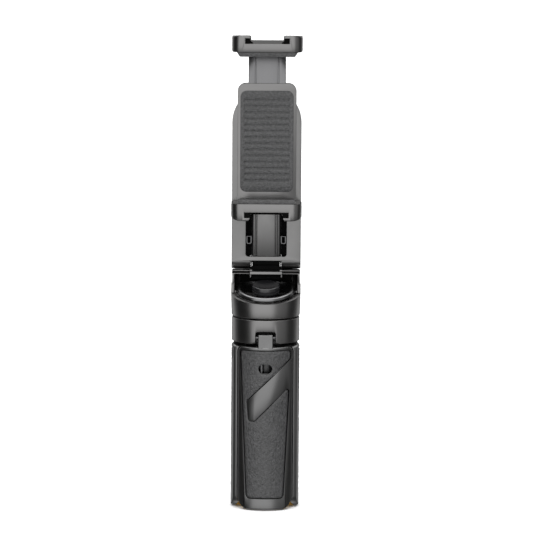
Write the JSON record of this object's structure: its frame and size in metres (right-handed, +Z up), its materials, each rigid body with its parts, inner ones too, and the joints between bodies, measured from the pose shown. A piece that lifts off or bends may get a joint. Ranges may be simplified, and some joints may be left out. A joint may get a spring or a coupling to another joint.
{
  "type": "pocket tripod grip with phone clamp",
  "caption": "Folding pocket tripod that doubles as a hand grip, with a telescopic mast, pan collar, shutter button, tilt hinge and a turning phone clamp.",
  "frame": {"origin": "centre of the folded grip's footprint, on the surface that it stands on", "axes": "+Z up along the grip, -Y to the front, where the clamp opens and the shutter button faces, +X to the right seen from the front"},
  "size_m": [0.034, 0.0335, 0.2298],
  "materials": {
    "housing_plastic": "satin graphite grey, fine grain",
    "arm_metal": "satin dark grey anodised",
    "leg_plastic": "satin dark grey",
    "grip_rubber": "fine leathery grain",
    "foot_rubber": "matte amber",
    "black_plastic": "matte black",
    "button_plastic": "satin black with a bright rim",
    "steel": "turned",
    "tube_aluminium": "anodised grey, drawn along its length",
    "nylon": "natural",
    "circuit_board": "solder mask"
  },
  "bodies": {
    "base": {"hub_body": "housing_plastic", "hub_core": "black_plastic", "mast_tube_outer": "tube_aluminium", "mast_end_plug": "foot_rubber", "outer_tube_bush": "nylon"},
    "leg_front": {"leg_shell_front": "leg_plastic", "leg_grip_front": "grip_rubber", "leg_inner_cover_front": "black_plastic", "leg_foot_front": "foot_rubber", "leg_pin_front": "steel", "lanyard_bar": "steel"},
    "leg_right": {"leg_shell_right": "leg_plastic", "leg_grip_right": "grip_rubber", "leg_inner_cover_right": "black_plastic", "leg_foot_right": "foot_rubber", "leg_pin_right": "steel"},
    "leg_left": {"leg_shell_left": "leg_plastic", "leg_grip_left": "grip_rubber", "leg_inner_cover_left": "black_plastic", "leg_foot_left": "foot_rubber", "leg_pin_left": "steel"},
    "mast_stage_2": {"stage_2_tube": "tube_aluminium", "stage_2_guide": "nylon", "stage_2_bush": "nylon"},
    "mast_stage_3": {"stage_3_tube": "tube_aluminium", "stage_3_guide": "nylon", "pan_spindle": "steel", "pan_nut": "steel"},
    "head": {"head_housing": "housing_plastic", "head_base_plate": "black_plastic", "remote_shell": "black_plastic", "remote_base": "black_plastic", "remote_board": "circuit_board", "dome_switch": "steel"},
    "button": {"shutter_button": "button_plastic"},
    "arm": {"arm_frame": "arm_metal", "arm_spine": "arm_metal", "arm_clip_left": "steel", "arm_clip_right": "steel", "arm_back_cover": "black_plastic", "cover_screw_low": "steel", "cover_screw_high": "steel", "hinge_pin": "steel", "hinge_cap_left": "steel", "hinge_cap_right": "steel", "hinge_washer_left": "nylon", "hinge_washer_right": "nylon"},
    "clamp": {"clamp_body": "housing_plastic", "lower_jaw": "housing_plastic", "lower_jaw_pad": "grip_rubber", "back_pad": "grip_rubber", "clamp_pivot": "steel", "pivot_washer": "nylon", "pivot_nut": "steel"},
    "sliding_jaw": {"upper_jaw": "housing_plastic", "upper_jaw_pad": "grip_rubber", "jaw_rail": "tube_aluminium"}
  },
  "joints": [
    {"name": "leg_front_fold", "type": "hinge", "parent": "base", "child": "leg_front", "pos_m": [0, -0.012, 0.084], "axis": [-1, 0, 0], "range_deg": [0, 60]},
    {"name": "leg_right_fold", "type": "hinge", "parent": "base", "child": "leg_right", "pos_m": [0.01039, 0.006, 0.084], "axis": [0.5, -0.866, 0], "range_deg": [0, 60]},
    {"name": "leg_left_fold", "type": "hinge", "parent": "base", "child": "leg_left", "pos_m": [-0.01039, 0.006, 0.084], "axis": [0.5, 0.866, 0], "range_deg": [0, 60]},
    {"name": "mast_slide_2", "type": "slide", "parent": "base", "child": "mast_stage_2", "axis": [0, 0, 1], "range_m": [0, 0.06]},
    {"name": "mast_slide_3", "type": "slide", "parent": "mast_stage_2", "child": "mast_stage_3", "axis": [0, 0, 1], "range_m": [0, 0.06]},
    {"name": "head_pan", "type": "hinge", "parent": "mast_stage_3", "child": "head", "pos_m": [0, 0, 0.0935], "axis": [0, 0, 1], "continuous": true},
    {"name": "shutter_press", "type": "slide", "parent": "head", "child": "button", "axis": [0, 0.225, -0.9744], "range_m": [0, 0.0008], "stiffness_N_per_m": 900},
    {"name": "arm_tilt", "type": "hinge", "parent": "head", "child": "arm", "pos_m": [0, 0.0115, 0.1188], "axis": [1, 0, 0], "range_deg": [-90, 55]},
    {"name": "clamp_turn", "type": "hinge", "parent": "arm", "child": "clamp", "pos_m": [0, 0.007, 0.1858], "axis": [0, 1, 0], "range_deg": [-90, 90]},
    {"name": "jaw_slide", "type": "slide", "parent": "clamp", "child": "sliding_jaw", "axis": [0, 0, 1], "range_m": [-0.012, 0.018]}
  ]
}
